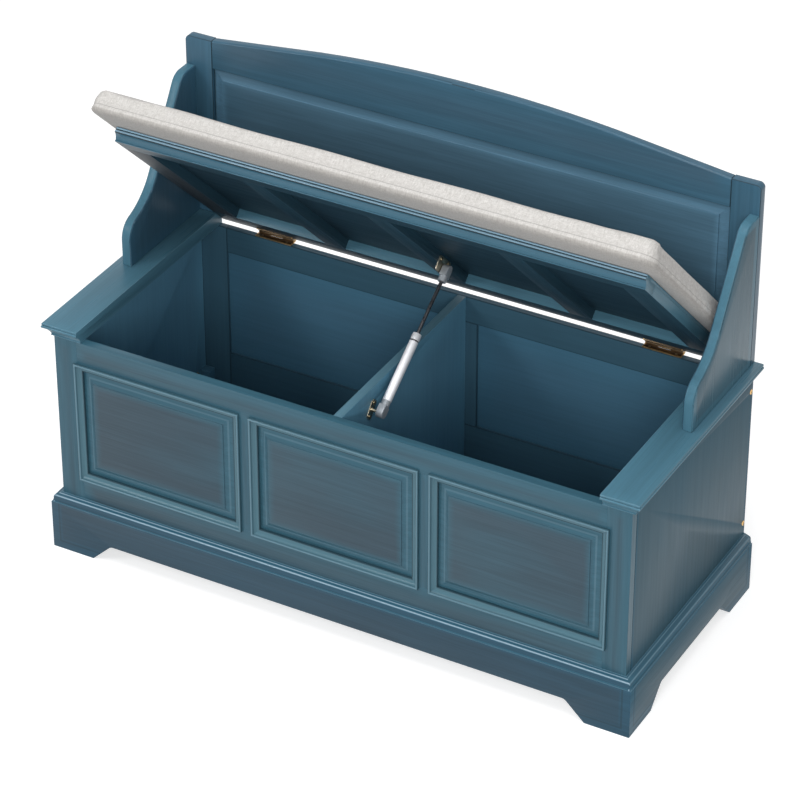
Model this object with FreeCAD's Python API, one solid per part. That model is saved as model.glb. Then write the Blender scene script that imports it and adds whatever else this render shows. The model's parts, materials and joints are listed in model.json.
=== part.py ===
import FreeCAD, Part
import math
import os

# Storage bench with a backrest, a hinged lid and a loose cushion.
# Lengths are millimetres. X runs to the sitter's left, Y runs back, Z runs up.
# The origin is on the floor, under the middle of the bench with its lid open.

Vector = FreeCAD.Vector
os.makedirs("parts", exist_ok=True)

# Plinth
plinth_width = 1080.0
plinth_depth = 458.0
plinth_face_top = 91.0
plinth_step = 1.4
plinth_cove_setback = 2.7
plinth_cove_height = 95.0
plinth_nose_foot_setback = 3.0
plinth_nose_foot_height = 99.5
plinth_nose_setback = 3.9
plinth_nose_height = 102.4
plinth_lip_setback = 6.0
plinth_lip_height = 104.0
plinth_top = 107.2
apron_bottom = 35.0
foot_width = 79.0
foot_slant = 36.0
foot_corner_radius = 12.0
foot_block_size = 40.0

# Box
box_front_setback = 14.4
box_side_setback = 16.1
box_bottom = 62.0
rim_height = 416.0
frame_thickness = 16.0
side_thickness = 15.5
side_edge_chamfer = 1.2
floor_bottom = 84.0
floor_thickness = 9.0
divider_left_face = -8.0
divider_right_face = 7.0

# Front frame, its raised panels and the mouldings round them
moulding_centre_half = 155.0
moulding_gap = 18.5
moulding_side_margin = 36.9
moulding_bottom_rise = 37.8
moulding_top_drop = 41.0
moulding_width = 13.5
moulding_lap = 5.5
moulding_proud = 5.5
moulding_bead = 4.0
moulding_inner_drop = 2.0
panel_margin_recess = 7.0
panel_field_recess = 1.0
panel_step = 1.5
panel_back_recess = 2.0
panel_margin_width = 8.0
panel_bevel_width = 11.0

# Back of the box
back_frame_thickness = 12.0
back_stile_width = 51.4
back_top_rail_height = 48.0
back_bottom_rail_height = 101.0
back_muntin_half = 29.0
back_panel_thickness = 6.0
back_panel_recess = 4.0

# Caps over the sides, with the moulded edge that the lid shares
cap_thickness = 26.0
cap_overhang = 1.0
cap_width = 68.0
lid_front_setback = 2.0
edge_setback = 12.5
edge_top_bead = 4.5
edge_second_bead = 5.5
edge_bottom_bead = 2.5
edge_bead_proud = 1.7
edge_second_proud = 2.6
edge_bottom_proud = 1.2
edge_cove_sag = 1.0

# Backrest
backrest_thickness = 16.5
backrest_height = 330.5
stile_corner_radius = 9.0
top_rail_height = 51.5
arch_rise = 39.5
backrest_slot_height = 36.0
bottom_rail_height = 52.0
backrest_margin_recess = 6.0
backrest_back_recess = 2.5
backrest_bevel_width = 15.0
backrest_margin_width = 3.0
edge_softening = 2.5
arch_end_slope = 7.1

# Wings
wing_thickness = 18.0
wing_depth = 219.5
wing_height = 278.0
wing_softening = 2.0
wing_nose_height = 47.0
wing_nose_radius = 36.7
wing_nose_angle = 18.0
wing_cove_radius = 119.0
wing_slope_angle = 58.4
wing_shoulder_radius = 29.0

# Lid
lid_side_gap = 2.0
lid_thickness = 22.0
lid_rear_gap = 1.0
lid_open = 44.0
lid_panel_thickness = 5.0
lid_panel_front_margin = 20.0
lid_rail_width = 48.0
batten_width = 40.0
batten_centre_offset = -3.0
batten_spacing = 230.0

# Hinges
pin_behind = 4.0
pin_rise = 3.5
pin_radius = 2.0
knuckle_radius = 3.5
knuckle_bore_clearance = 0.05
knuckle_count = 3
knuckle_end_gap = 0.3
knuckle_notch_clearance = 0.4
hinge_length = 70.0
hinge_centre = 365.0
leaf_reach = 11.0
leaf_thickness = 1.8
leaf_screw_spread = 24.0
leaf_screw_inset = 6.0
leaf_screw_head_radius = 2.6
leaf_screw_head_height = 0.8
leaf_screw_radius = 1.4
leaf_screw_length = 13.0

# Cushion
cushion_side_gap = 3.9
cushion_front = 1.0
cushion_rear_gap = 3.0
cushion_slip = 71.0
cushion_lift = 0.4
cushion_height = 50.0
cushion_corner_radius = 26.0
# Each row is a share of the height and the inset there as a share of the height.
cushion_side_shares = [(0.0, 0.42), (0.1, 0.16), (0.27, 0.0), (0.5, 0.04), (0.72, 0.16),
                       (0.87, 0.36), (0.95, 0.8), (1.0, 2.4)]

# Small screws and bolts
screw_sides = 12
side_screw_inset = 6.5
side_screw_low_rise = 22.5
side_screw_high_drop = 28.5
side_screw_head_radius = 4.5
side_screw_head_height = 1.2
side_screw_radius = 2.0
side_screw_length = 36.0
corner_block_width = 19.0
corner_block_height = 30.0
corner_bolt_inset = 42.0
corner_bolt_rise = 23.0
corner_bolt_head_radius = 6.5
corner_bolt_head_height = 3.5
corner_bolt_radius = 3.0
corner_bolt_length = 12.0
bracket_screw_head_radius = 3.2
bracket_screw_head_height = 1.8
bracket_screw_radius = 1.6
bracket_screw_length = 12.0

# Gas strut
strut_offset = 19.0
lower_stud_y = 124.4
lower_stud_drop = 38.3
upper_stud_y = 300.0
upper_stud_drop = 6.2
stud_head_radius = 5.0
stud_head_half = 3.5
stud_head_clearance = 0.05
stud_neck_radius = 2.6
stud_foot_radius = 4.2
stud_foot_thickness = 1.0
stud_foot_gap = 0.3
plate_thickness = 1.6
lower_plate_length = 34.0
lower_plate_width = 18.0
lower_plate_tilt = 50.0
lower_plate_screw_spread = 12.0
upper_plate_length = 50.0
upper_plate_height = 26.0
upper_plate_drop = 14.0
upper_plate_corner = 4.0
upper_plate_screw_spread = 16.0
upper_plate_screw_rise = 7.0
fitting_half_width = 9.0
fitting_half_thickness = 6.0
fitting_block_length = 12.0
fitting_length = 21.0
tube_radius = 7.5
tube_end = 145.0
tube_collar_width = 8.0
tube_collar_groove = 1.0
tube_collar_depth = 0.5
rod_radius = 3.0
rod_clearance = 0.05
rod_inner_end = 116.0
bore_end = 28.0
fitting_neck_radius = 7.4

# Values that follow from the sizes above
open_angle = math.radians(lid_open)
cap_top = rim_height + cap_thickness
pin_height = rim_height + pin_rise
# The open lid's rear corner reaches furthest back.
overall_depth = (plinth_depth + pin_behind - (pin_behind + lid_rear_gap) * math.cos(open_angle)
                 + (cap_top - pin_height) * math.sin(open_angle))
front = -overall_depth / 2
rear = front + plinth_depth
plinth_half = plinth_width / 2
box_half = plinth_half - box_side_setback
box_front = front + box_front_setback
frame_back = box_front + frame_thickness
side_inner = box_half - side_thickness
floor_top = floor_bottom + floor_thickness
moulding_side_inner = moulding_centre_half + moulding_gap
moulding_side_outer = box_half - moulding_side_margin
moulding_bottom = plinth_top + moulding_bottom_rise
moulding_top = rim_height - moulding_top_drop
frame_opening_bottom = moulding_bottom + moulding_lap
frame_opening_top = moulding_top - moulding_lap
back_front = rear - back_frame_thickness
back_opening_half = side_inner - back_stile_width
back_top_rail_bottom = rim_height - back_top_rail_height
back_bottom_rail_top = box_bottom + back_bottom_rail_height
cap_outer_half = plinth_half + cap_overhang
cap_inner_half = cap_outer_half - cap_width
backrest_front = rear - backrest_thickness
stile_top = cap_top + backrest_height
top_rail_bottom = stile_top - top_rail_height
bottom_rail_bottom = cap_top + backrest_slot_height
bottom_rail_top = bottom_rail_bottom + bottom_rail_height
wing_inner = box_half - wing_thickness
wing_front = backrest_front - wing_depth
lid_half = cap_inner_half - lid_side_gap
lid_bottom = cap_top - lid_thickness
lid_front = front + lid_front_setback
lid_rear = rear - lid_rear_gap
lid_panel_bottom = cap_top - lid_panel_thickness
pin_y = rear + pin_behind
hinge_pin = Vector(0, pin_y, pin_height)
strut_x = divider_right_face + strut_offset


def save(name, *solids):
    shape = solids[0] if len(solids) == 1 else Part.makeCompound(list(solids))
    shape.exportStep("parts/" + name + ".step")


def board(x_low, x_high, y_low, y_high, z_low, z_high):
    corner = Vector(x_low, y_low, z_low)
    return Part.makeBox(x_high - x_low, y_high - y_low, z_high - z_low, corner)


def flat_face(points):
    return Part.Face(Part.makePolygon(points + [points[0]]))


def prism_along_x(outline, x_low, x_high):
    face = flat_face([Vector(x_low, y, z) for y, z in outline])
    return face.extrude(Vector(x_high - x_low, 0, 0))


def prism_along_y(outline, y_low, y_high):
    face = flat_face([Vector(x, y_low, z) for x, z in outline])
    return face.extrude(Vector(0, y_high - y_low, 0))


def prism_along_z(outline, z_low, z_high):
    face = flat_face([Vector(x, y, z_low) for x, y in outline])
    return face.extrude(Vector(0, 0, z_high - z_low))


def mirrored(shape):
    return shape.mirror(Vector(0, 0, 0), Vector(1, 0, 0))


def opened(shape):
    turned = shape.copy()
    turned.rotate(hinge_pin, Vector(1, 0, 0), -lid_open)
    return turned


def rounded(shape, radius, chosen):
    edges = [edge for edge in shape.Edges if chosen(edge.BoundBox)]
    return shape.makeFillet(radius, edges)


def turned_solid(outline, axis_start, direction):
    # Outline points are distance along the axis and radius.
    face = flat_face([Vector(radius, 0, along) for along, radius in outline])
    solid = face.revolve(Vector(0, 0, 0), Vector(0, 0, 1), 360)
    solid.Placement = FreeCAD.Placement(
        axis_start, FreeCAD.Rotation(Vector(0, 0, 1), direction))
    return solid


def screw_ring(along, radius):
    # Small screws are many-sided, to keep their repeats light.
    corners = []
    for index in range(screw_sides + 1):
        angle = 2 * math.pi * index / screw_sides
        corners.append(Vector(radius * math.cos(angle), radius * math.sin(angle), along))
    return Part.makePolygon(corners)


def screw(seat, direction, head, radius, length):
    # The head's two rings are given as distance past the seat and radius.
    body = Part.makeLoft([screw_ring(along, reach) for along, reach in head], True, True)
    head_end = head[-1][0]
    shank = Part.makeLoft([screw_ring(head_end, radius), screw_ring(length, radius)],
                          True, True)
    body = body.fuse(shank).removeSplitter()
    body.Placement = FreeCAD.Placement(
        seat, FreeCAD.Rotation(Vector(0, 0, 1), direction))
    return body


def dome_screw(seat, direction, head_radius, head_height, radius, length):
    head = [(-head_height, head_radius / 2), (0, head_radius)]
    return screw(seat, direction, head, radius, length)


# Plinth boards

def plinth_bar(outermost, inward, place, direction):
    # A bar with a stepped, coved and rounded top edge, flat against the box.
    # The place function turns a depth and a height into a point.
    def point(depth, height):
        return place(outermost + inward * depth, height)

    corner = point(0, plinth_face_top)
    step = point(plinth_step, plinth_face_top)
    nose_foot = point(plinth_nose_foot_setback, plinth_nose_foot_height)
    lip = point(plinth_lip_setback, plinth_lip_height)
    shoulder = point(box_front_setback, plinth_top)
    inner_top = point(box_side_setback, plinth_top)
    inner_foot = point(box_side_setback, 0)
    cove = point(plinth_cove_setback, plinth_cove_height)
    nose = point(plinth_nose_setback, plinth_nose_height)
    edges = [Part.makeLine(point(0, 0), corner),
             Part.makeLine(corner, step),
             Part.Arc(step, cove, nose_foot).toShape(),
             Part.Arc(nose_foot, nose, lip).toShape(),
             Part.makeLine(lip, shoulder),
             Part.makeLine(shoulder, inner_top),
             Part.makeLine(inner_top, inner_foot),
             Part.makeLine(inner_foot, point(0, 0))]
    return Part.Face(Part.Wire(edges)).extrude(direction)


def foot_cutter(low, high, prism):
    outline = [(low, 0), (low + foot_slant, apron_bottom),
               (high - foot_slant, apron_bottom), (high, 0)]
    return prism(outline)


def plinth():
    # The corners are mitred through the moulded top edge.
    mitre_end = plinth_half - box_front_setback
    mitre = [(-plinth_half, front), (plinth_half, front), (mitre_end, box_front),
             (-mitre_end, box_front)]
    front_wedge = prism_along_z(mitre, 0, plinth_top)
    front_bar = plinth_bar(front, 1, lambda y, z: Vector(-plinth_half, y, z),
                           Vector(plinth_width, 0, 0))
    side_bar = plinth_bar(plinth_half, -1, lambda x, z: Vector(x, front, z),
                          Vector(0, plinth_depth, 0))

    front_gap = foot_cutter(foot_width - plinth_half, plinth_half - foot_width,
                            lambda outline: prism_along_y(outline, front, box_front))
    front_gap = rounded(front_gap, foot_corner_radius,
                        lambda box: box.YLength > box.XLength and box.ZMin > 0)
    front_board = front_bar.common(front_wedge).cut(front_gap)
    save("plinth_front", front_board)

    side_gap = foot_cutter(front + foot_width, rear - foot_width,
                           lambda outline: prism_along_x(outline, box_half, plinth_half))
    side_gap = rounded(side_gap, foot_corner_radius,
                       lambda box: box.XLength > box.YLength and box.ZMin > 0)
    right_board = side_bar.cut(front_wedge).cut(side_gap)
    save("plinth_right", right_board)
    save("plinth_left", mirrored(right_board))

    block_inner = box_half - foot_block_size
    blocks = []
    for y_low in (box_front, rear - foot_block_size):
        block = board(block_inner, box_half, y_low, y_low + foot_block_size, 0, box_bottom)
        blocks.append(block)
        blocks.append(mirrored(block))
    save("foot_blocks", *blocks)


# Side panels, floor, divider and corner blocks

def side_screws():
    screws = []
    for height in (plinth_top + side_screw_low_rise, rim_height - side_screw_high_drop):
        seat = Vector(box_half, rear - side_screw_inset, height)
        screw = dome_screw(seat, Vector(-1, 0, 0), side_screw_head_radius,
                           side_screw_head_height, side_screw_radius, side_screw_length)
        screws.append(screw)
        screws.append(mirrored(screw))
    return screws


def corner_bolts():
    seat = Vector(side_inner, rear - corner_bolt_inset, floor_top + corner_bolt_rise)
    bolt = dome_screw(seat, Vector(1, 0, 0), corner_bolt_head_radius,
                      corner_bolt_head_height, corner_bolt_radius, corner_bolt_length)
    return [bolt, mirrored(bolt)]


def box_sides():
    panel = board(side_inner, box_half, frame_back, rear, box_bottom, rim_height)
    edges = [edge for edge in panel.Edges
             if edge.BoundBox.ZLength > side_thickness
             and edge.BoundBox.YMax < 0 and edge.BoundBox.XMin > side_inner + side_edge_chamfer]
    panel = panel.makeChamfer(side_edge_chamfer, edges)
    for screw in side_screws() + corner_bolts():
        panel = panel.cut(screw)
    save("side_panel_right", panel)
    save("side_panel_left", mirrored(panel))
    save("side_screws", *side_screws())
    save("corner_bolts", *corner_bolts())

    block = board(side_inner - corner_block_width, side_inner,
                  back_front - corner_block_width, back_front,
                  floor_top, floor_top + corner_block_height)
    save("corner_blocks", block, mirrored(block))
    save("floor_panel", board(-side_inner, side_inner, frame_back, back_front,
                              floor_bottom, floor_top))


# Front frame with three raised panels

def raised_panel(low, high, bottom, top, face, margin_recess, field_recess,
                 back_plane, margin_width, bevel_width):
    # A flat margin, a bevel and a small step up to the field in the middle.
    slab = board(low, high, face + margin_recess, back_plane, bottom, top)

    def ring(inset, recess):
        corners = [Vector(low + inset, face + recess, bottom + inset),
                   Vector(high - inset, face + recess, bottom + inset),
                   Vector(high - inset, face + recess, top - inset),
                   Vector(low + inset, face + recess, top - inset)]
        return Part.makePolygon(corners + [corners[0]])

    field_inset = margin_width + bevel_width
    bevel = Part.makeLoft([ring(margin_width, margin_recess),
                           ring(field_inset, field_recess + panel_step)], True, True)
    field = board(low + field_inset, high - field_inset, face + field_recess,
                  face + field_recess + panel_step, bottom + field_inset, top - field_inset)
    return slab.fuse([bevel, field]).removeSplitter()


def moulding_section(x_outer, z_middle):
    # Section of the moulding on its left-hand side, at the middle of its height.
    lap_depth = box_front
    bead_root = box_front - moulding_proud + moulding_inner_drop
    bead_end = x_outer + moulding_bead
    inner = x_outer + moulding_width
    seat = box_front + panel_margin_recess
    outer_low = Vector(x_outer, lap_depth, z_middle)
    outer_high = Vector(x_outer, bead_root, z_middle)
    bead_top = Vector(x_outer + moulding_bead / 2, box_front - moulding_proud, z_middle)
    bead_stop = Vector(bead_end, bead_root, z_middle)
    cove_stop = Vector(inner, box_front + moulding_inner_drop, z_middle)
    cove_middle = Vector((bead_end + inner) / 2 - moulding_bead / 4,
                         box_front + moulding_inner_drop / 2, z_middle)
    foot_inner = Vector(inner, seat, z_middle)
    foot_outer = Vector(x_outer + moulding_lap, seat, z_middle)
    lap_corner = Vector(x_outer + moulding_lap, lap_depth, z_middle)
    edges = [Part.makeLine(outer_low, outer_high),
             Part.Arc(outer_high, bead_top, bead_stop).toShape(),
             Part.Arc(bead_stop, cove_middle, cove_stop).toShape(),
             Part.makeLine(cove_stop, foot_inner),
             Part.makeLine(foot_inner, foot_outer),
             Part.makeLine(foot_outer, lap_corner),
             Part.makeLine(lap_corner, outer_low)]
    return Part.Wire(edges)


def moulding_ring(low, high):
    # The section runs round the opening with mitred corners.
    middle = (moulding_bottom + moulding_top) / 2
    corners = [Vector(low, box_front, middle), Vector(low, box_front, moulding_top),
               Vector(high, box_front, moulding_top), Vector(high, box_front, moulding_bottom),
               Vector(low, box_front, moulding_bottom)]
    path = Part.makePolygon(corners + [corners[0]])
    return path.makePipeShell([moulding_section(low, middle)], True, False, 1)


def front_frame():
    stile_inner = moulding_side_outer - moulding_lap
    muntin_inner = moulding_centre_half - moulding_lap
    muntin_outer = moulding_side_inner + moulding_lap
    stile = board(stile_inner, box_half, box_front, frame_back, box_bottom, rim_height)
    save("front_stile_right", stile)
    save("front_stile_left", mirrored(stile))
    save("front_top_rail", board(-stile_inner, stile_inner, box_front, frame_back,
                                 frame_opening_top, rim_height))
    save("front_bottom_rail", board(-stile_inner, stile_inner, box_front, frame_back,
                                    box_bottom, frame_opening_bottom))
    muntin = board(muntin_inner, muntin_outer, box_front, frame_back,
                   frame_opening_bottom, frame_opening_top)
    save("front_muntin_right", muntin)
    save("front_muntin_left", mirrored(muntin))

    margin = moulding_width - moulding_lap + panel_margin_width
    back_plane = frame_back - panel_back_recess
    openings = [("centre", -muntin_inner, muntin_inner), ("right", muntin_outer, stile_inner)]
    for name, low, high in openings:
        panel = raised_panel(low, high, frame_opening_bottom, frame_opening_top, box_front,
                             panel_margin_recess, panel_field_recess, back_plane,
                             margin, panel_bevel_width)
        ring = moulding_ring(low - moulding_lap, high + moulding_lap)
        save("front_panel_" + name, panel)
        save("front_moulding_" + name, ring)
        if name == "right":
            save("front_panel_left", mirrored(panel))
            save("front_moulding_left", mirrored(ring))


# Framed back of the box

def box_back():
    stile = board(back_opening_half, side_inner, back_front, rear, box_bottom, rim_height)
    for screw in side_screws():
        stile = stile.cut(screw)
    save("back_stile_right", stile)
    save("back_stile_left", mirrored(stile))
    top_rail = board(-back_opening_half, back_opening_half, back_front, rear,
                     back_top_rail_bottom, rim_height)
    for screw in rim_screws():
        top_rail = top_rail.cut(screw)
    save("back_top_rail", top_rail)
    save("back_bottom_rail", board(-back_opening_half, back_opening_half, back_front, rear,
                                   box_bottom, back_bottom_rail_top))
    save("back_muntin", board(-back_muntin_half, back_muntin_half, back_front, rear,
                              back_bottom_rail_top, back_top_rail_bottom))
    panel_front = back_front + back_panel_recess
    panel = board(back_muntin_half, back_opening_half, panel_front,
                  panel_front + back_panel_thickness, back_bottom_rail_top,
                  back_top_rail_bottom)
    save("back_panel_right", panel)
    save("back_panel_left", mirrored(panel))


# Moulded edge shared by the caps and the lid

def moulded_edge(outermost, top, bottom, inward, place):
    # Edges of the moulding from the top face to the bottom face.
    # The place function turns a depth and a height into a point.
    def point(depth, height):
        return place(outermost + inward * depth, height)

    first_end = top - edge_top_bead
    second_end = first_end - edge_second_bead
    foot = bottom + edge_bottom_bead
    root = edge_second_proud
    slope_middle = (root + edge_setback) / 2 + edge_cove_sag
    return [Part.Arc(point(root, top), point(root - edge_bead_proud, (top + first_end) / 2),
                     point(root, first_end)).toShape(),
            Part.Arc(point(root, first_end), point(0, (first_end + second_end) / 2),
                     point(root, second_end)).toShape(),
            Part.Arc(point(root, second_end),
                     point(slope_middle, (second_end + foot) / 2 + edge_cove_sag),
                     point(edge_setback, foot)).toShape(),
            Part.Arc(point(edge_setback, foot),
                     point(edge_setback - edge_bottom_proud, (foot + bottom) / 2),
                     point(edge_setback, bottom)).toShape()]


def moulded_prism(outermost, top, bottom, back, inward, place, direction):
    edges = moulded_edge(outermost, top, bottom, inward, place)
    last = place(outermost + inward * edge_setback, bottom)
    first = place(outermost + inward * edge_second_proud, top)
    edges.append(Part.makeLine(last, place(back, bottom)))
    edges.append(Part.makeLine(place(back, bottom), place(back, top)))
    edges.append(Part.makeLine(place(back, top), first))
    return Part.Face(Part.Wire(edges)).extrude(direction)


def caps():
    # Two moulded bars crossed at the corner leave a mitred moulding.
    along_depth = moulded_prism(cap_outer_half, cap_top, rim_height, cap_inner_half, -1,
                                lambda x, z: Vector(x, lid_front, z),
                                Vector(0, rear - lid_front, 0))
    along_width = moulded_prism(lid_front, cap_top, rim_height, rear, 1,
                                lambda y, z: Vector(cap_inner_half, y, z),
                                Vector(cap_outer_half - cap_inner_half, 0, 0))
    cap = along_depth.common(along_width)
    save("cap_right", cap)
    save("cap_left", mirrored(cap))


# Wings

def heading(degrees):
    return Vector(0, math.cos(math.radians(degrees)), math.sin(math.radians(degrees)))


def bend(start, from_angle, to_angle, radius):
    # An arc that leaves the start at one heading and ends at another.
    side = 1 if to_angle > from_angle else -1
    centre = start + heading(from_angle + side * 90) * radius
    middle = centre - heading((from_angle + to_angle) / 2 + side * 90) * radius
    end = centre - heading(to_angle + side * 90) * radius
    return Part.Arc(start, middle, end).toShape(), end


def wings():
    base_front = Vector(wing_inner, wing_front, cap_top)
    base_rear = Vector(wing_inner, backrest_front, cap_top)
    top_rear = Vector(wing_inner, backrest_front, cap_top + wing_height)
    nose_start = base_front + Vector(0, 0, wing_nose_height)
    nose, nose_end = bend(nose_start, 90, wing_nose_angle, wing_nose_radius)
    cove, cove_end = bend(nose_end, wing_nose_angle, wing_slope_angle, wing_cove_radius)
    slope = math.radians(wing_slope_angle)
    shoulder_rise = wing_shoulder_radius * (1 - math.cos(slope))
    climb = top_rear.z - shoulder_rise - cove_end.z
    slope_end = cove_end + heading(wing_slope_angle) * (climb / math.sin(slope))
    shoulder, shoulder_end = bend(slope_end, wing_slope_angle, 0, wing_shoulder_radius)
    edges = [Part.makeLine(base_front, nose_start),
             nose,
             cove,
             Part.makeLine(cove_end, slope_end),
             shoulder,
             Part.makeLine(shoulder_end, top_rear),
             Part.makeLine(top_rear, base_rear),
             Part.makeLine(base_rear, base_front)]
    wing = Part.Face(Part.Wire(edges)).extrude(Vector(wing_thickness, 0, 0))
    chosen = [edge for edge in wing.Edges
              if edge.BoundBox.XLength < wing_softening
              and edge.BoundBox.ZMax > cap_top + wing_softening
              and edge.BoundBox.YMin < backrest_front - wing_softening]
    wing = wing.makeChamfer(wing_softening, chosen)
    save("wing_right", wing)
    save("wing_left", mirrored(wing))


# Backrest

def backrest():
    stile = board(cap_inner_half, box_half, backrest_front, rear, cap_top, stile_top)
    stile = rounded(stile, stile_corner_radius,
                    lambda box: box.YLength > edge_softening and box.XLength < edge_softening
                    and box.ZMin > stile_top - edge_softening
                    and box.XMin > box_half - edge_softening)
    save("backrest_stile_right", stile)
    save("backrest_stile_left", mirrored(stile))

    # The arch is one arc that runs straight on at both ends.
    slope = math.radians(arch_end_slope)
    arch_radius = ((cap_inner_half * math.tan(slope) - arch_rise)
                   / (math.sin(slope) * math.tan(slope) + math.cos(slope) - 1))
    bend_x = arch_radius * math.sin(slope)
    bend_height = stile_top + (cap_inner_half - bend_x) * math.tan(slope)
    low_left = Vector(-cap_inner_half, backrest_front, top_rail_bottom)
    low_right = Vector(cap_inner_half, backrest_front, top_rail_bottom)
    high_left = Vector(-cap_inner_half, backrest_front, stile_top)
    high_right = Vector(cap_inner_half, backrest_front, stile_top)
    left_bend = Vector(-bend_x, backrest_front, bend_height)
    right_bend = Vector(bend_x, backrest_front, bend_height)
    crown = Vector(0, backrest_front, stile_top + arch_rise)
    edges = [Part.makeLine(low_left, high_left),
             Part.makeLine(high_left, left_bend),
             Part.Arc(left_bend, crown, right_bend).toShape(),
             Part.makeLine(right_bend, high_right),
             Part.makeLine(high_right, low_right),
             Part.makeLine(low_right, low_left)]
    rail = Part.Face(Part.Wire(edges)).extrude(Vector(0, backrest_thickness, 0))
    chosen = [edge for edge in rail.Edges
              if edge.BoundBox.YLength < edge_softening
              and edge.BoundBox.XLength > edge_softening
              and edge.BoundBox.ZMax > stile_top]
    rail = rail.makeChamfer(edge_softening, chosen)
    save("backrest_top_rail", rail)

    save("backrest_bottom_rail", board(-cap_inner_half, cap_inner_half, backrest_front, rear,
                                       bottom_rail_bottom, bottom_rail_top))
    save("backrest_panel", raised_panel(-cap_inner_half, cap_inner_half, bottom_rail_top,
                                        top_rail_bottom, backrest_front,
                                        backrest_margin_recess, panel_field_recess,
                                        rear - backrest_back_recess, backrest_margin_width,
                                        backrest_bevel_width))


# Lid, drawn shut and then turned open

def lid():
    rail_back = lid_front + lid_rail_width
    rear_rail_front = lid_rear - lid_rail_width
    side_rail_inner = lid_half - lid_rail_width
    panel_front = lid_front + lid_panel_front_margin

    front_rail = moulded_prism(lid_front, cap_top, lid_bottom, rail_back, 1,
                               lambda y, z: Vector(-lid_half, y, z),
                               Vector(2 * lid_half, 0, 0))
    front_rail = front_rail.cut(board(-lid_half, lid_half, panel_front, rail_back,
                                      lid_panel_bottom, cap_top))
    save("lid_front_rail", opened(front_rail))

    panel = board(-lid_half, lid_half, panel_front, lid_rear, lid_panel_bottom, cap_top)
    save("lid_panel", opened(panel))

    rear_rail = board(-lid_half, lid_half, rear_rail_front, lid_rear,
                      lid_bottom, lid_panel_bottom)
    for screw in lid_rail_screws():
        rear_rail = rear_rail.cut(screw)
    save("lid_rear_rail", opened(rear_rail))

    side_rail = board(side_rail_inner, lid_half, rail_back, rear_rail_front,
                      lid_bottom, lid_panel_bottom)
    save("lid_side_rail_right", opened(side_rail))
    save("lid_side_rail_left", opened(mirrored(side_rail)))

    centres = [("left", -batten_spacing), ("centre", batten_centre_offset),
               ("right", batten_spacing)]
    for name, centre in centres:
        batten = board(centre - batten_width / 2, centre + batten_width / 2, rail_back,
                       rear_rail_front, lid_bottom, lid_panel_bottom)
        if name == "centre":
            for screw in upper_plate_screws():
                batten = batten.cut(screw)
        save("lid_batten_" + name, opened(batten))


# Butt hinges

def leaf_screws(seat_height, direction):
    screws = []
    for centre in (-hinge_centre, hinge_centre):
        for offset in (-leaf_screw_spread, leaf_screw_spread):
            seat = Vector(centre + offset, rear - leaf_screw_inset, seat_height)
            head = [(0, leaf_screw_head_radius),
                    (leaf_screw_head_height, leaf_screw_radius)]
            screws.append(screw(seat, direction, head, leaf_screw_radius,
                                leaf_screw_length))
    return screws


def rim_screws():
    return leaf_screws(rim_height + leaf_thickness, Vector(0, 0, -1))


def lid_rail_screws():
    return leaf_screws(lid_bottom - leaf_thickness, Vector(0, 0, 1))


def hinge_leaf(centre, plate_bottom, first_knuckle):
    # One leaf carries every second knuckle and is notched round the others.
    start = centre - hinge_length / 2
    pitch = hinge_length / knuckle_count
    along = Vector(1, 0, 0)
    notch_front = pin_y - knuckle_radius - knuckle_notch_clearance
    leaf = board(start, start + hinge_length, rear - leaf_reach, pin_y,
                 plate_bottom, plate_bottom + leaf_thickness)
    for index in range(knuckle_count):
        place = Vector(start + index * pitch, pin_y, pin_height)
        if index % 2 == first_knuckle:
            place.x += knuckle_end_gap / 2
            leaf = leaf.fuse(Part.makeCylinder(knuckle_radius, pitch - knuckle_end_gap,
                                               place, along))
        else:
            gap = knuckle_end_gap / 2
            leaf = leaf.cut(board(place.x - gap, place.x + pitch + gap, notch_front,
                                  place.y, plate_bottom, plate_bottom + leaf_thickness))
    bore_start = Vector(start - pitch, pin_y, pin_height)
    leaf = leaf.cut(Part.makeCylinder(pin_radius + knuckle_bore_clearance,
                                      hinge_length + 2 * pitch, bore_start, along))
    return leaf


def hinges():
    fixed_leaves = []
    moving_leaves = []
    pins = []
    for centre in (-hinge_centre, hinge_centre):
        fixed = hinge_leaf(centre, rim_height, 0)
        moving = hinge_leaf(centre, lid_bottom - leaf_thickness, 1)
        for screw in rim_screws():
            fixed = fixed.cut(screw)
        for screw in lid_rail_screws():
            moving = moving.cut(screw)
        fixed_leaves.append(fixed)
        moving_leaves.append(opened(moving))
        pin_start = Vector(centre - hinge_length / 2, pin_y, pin_height)
        pins.append(Part.makeCylinder(pin_radius, hinge_length, pin_start, Vector(1, 0, 0)))
    save("hinge_fixed_leaves", *fixed_leaves)
    save("hinge_moving_leaves", *moving_leaves)
    save("hinge_pins", *pins)


# Cushion, drawn on the shut lid, slid forward and turned open with it

def cushion():
    bottom = cap_top + cushion_lift
    sections = []
    for share_up, share_in in cushion_side_shares:
        inset = share_in * cushion_height
        x_edge = wing_inner - cushion_side_gap - inset
        y_low = front + cushion_front + inset
        y_high = backrest_front - cushion_rear_gap - inset
        radius = cushion_corner_radius
        height = bottom + share_up * cushion_height
        plate = board(-x_edge, x_edge, y_low, y_high, height, height + radius)
        upright = [edge for edge in plate.Edges if edge.BoundBox.ZLength > radius / 2]
        plate = plate.makeFillet(radius, upright)
        for face in plate.Faces:
            if face.BoundBox.ZMax < height + radius / 2:
                sections.append(face.OuterWire)
    body = Part.makeLoft(sections, True, True)
    body.translate(Vector(0, -cushion_slip, 0))
    save("cushion", opened(body))


# Gas strut between the divider and the middle batten

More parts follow.
